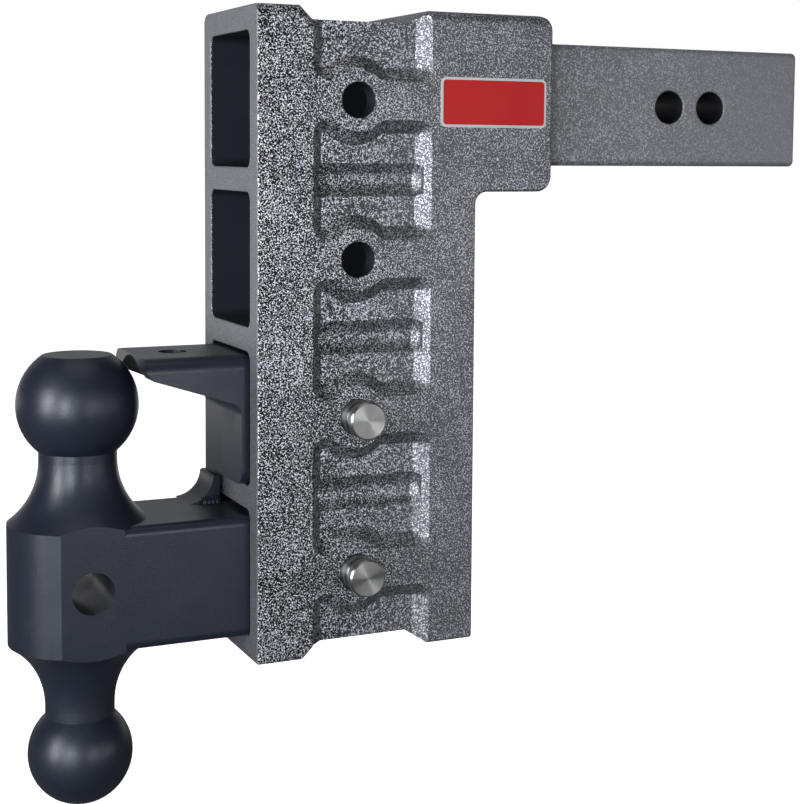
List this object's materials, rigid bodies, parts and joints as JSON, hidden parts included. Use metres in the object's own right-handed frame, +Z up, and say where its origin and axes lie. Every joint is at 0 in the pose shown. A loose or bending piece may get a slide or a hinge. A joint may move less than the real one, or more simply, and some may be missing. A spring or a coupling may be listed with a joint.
{
  "type": "adjustable drop hitch with dual ball mount",
  "caption": "Square-shank drop hitch: a ribbed receiver column holding a one-piece mount with an upper and a lower tow ball and a pintle lock above it, each on a cross pin with a hairpin clip.",
  "frame": {"origin": "centre of the outer hitch-pin bore in the shank, on the mid-plane", "axes": "+X along the shank towards the vehicle, +Y across to the clip side (the vehicle's right when the shank points forward is -Y), +Z up, away from the ball mount"},
  "size_m": [0.4342, 0.1145, 0.389],
  "materials": {
    "hammertone_casting": "dark and light grey hammertone powder coat, glossy grain",
    "hammertone_shank": "finer grey hammertone powder coat",
    "badge_face": "plain muted red enamel with a slim pale border",
    "black_forging": "satin blue-black coat over turned and forged steel",
    "black_lock": "satin blue-black coat",
    "stainless_pin": "turned stainless steel",
    "clip_wire": "drawn spring wire"
  },
  "bodies": {
    "frame": {"receiver_column": "hammertone_casting", "shank": "hammertone_shank", "side_badge": "badge_face"},
    "ball_mount_body": {"ball_mount": "black_forging", "eye_stop": "black_forging", "eye_stop_weld": "black_forging"},
    "pintle_lock_body": {"pintle_lock": "black_lock"},
    "mount_pin": {"ball_mount_pin": "stainless_pin"},
    "mount_pin_clip": {"ball_mount_pin_clip": "clip_wire"},
    "lock_pin": {"pintle_lock_pin": "stainless_pin"},
    "lock_pin_clip": {"pintle_lock_pin_clip": "clip_wire"}
  },
  "joints": [
    {"name": "ball_mount_rock", "type": "hinge", "parent": "frame", "child": "ball_mount_body", "pos_m": [-0.213, 0, -0.234], "axis": [0, 1, 0], "range_deg": [0, 0.6]},
    {"name": "pintle_lock_rock", "type": "hinge", "parent": "frame", "child": "pintle_lock_body", "pos_m": [-0.213, 0, -0.156], "axis": [0, 1, 0], "range_deg": [0, 0.6]},
    {"name": "ball_mount_pin_slide", "type": "slide", "parent": "frame", "child": "mount_pin", "axis": [0, 1, 0], "range_m": [-0.0018, 0.009]},
    {"name": "pintle_lock_pin_slide", "type": "slide", "parent": "frame", "child": "lock_pin", "axis": [0, 1, 0], "range_m": [-0.0018, 0.009]},
    {"name": "ball_mount_clip_pull", "type": "slide", "parent": "mount_pin", "child": "mount_pin_clip", "axis": [0, 0, -1], "range_m": [0, 0.03]},
    {"name": "pintle_lock_clip_pull", "type": "slide", "parent": "lock_pin", "child": "lock_pin_clip", "axis": [0, 0, 1], "range_m": [0, 0.03]}
  ]
}
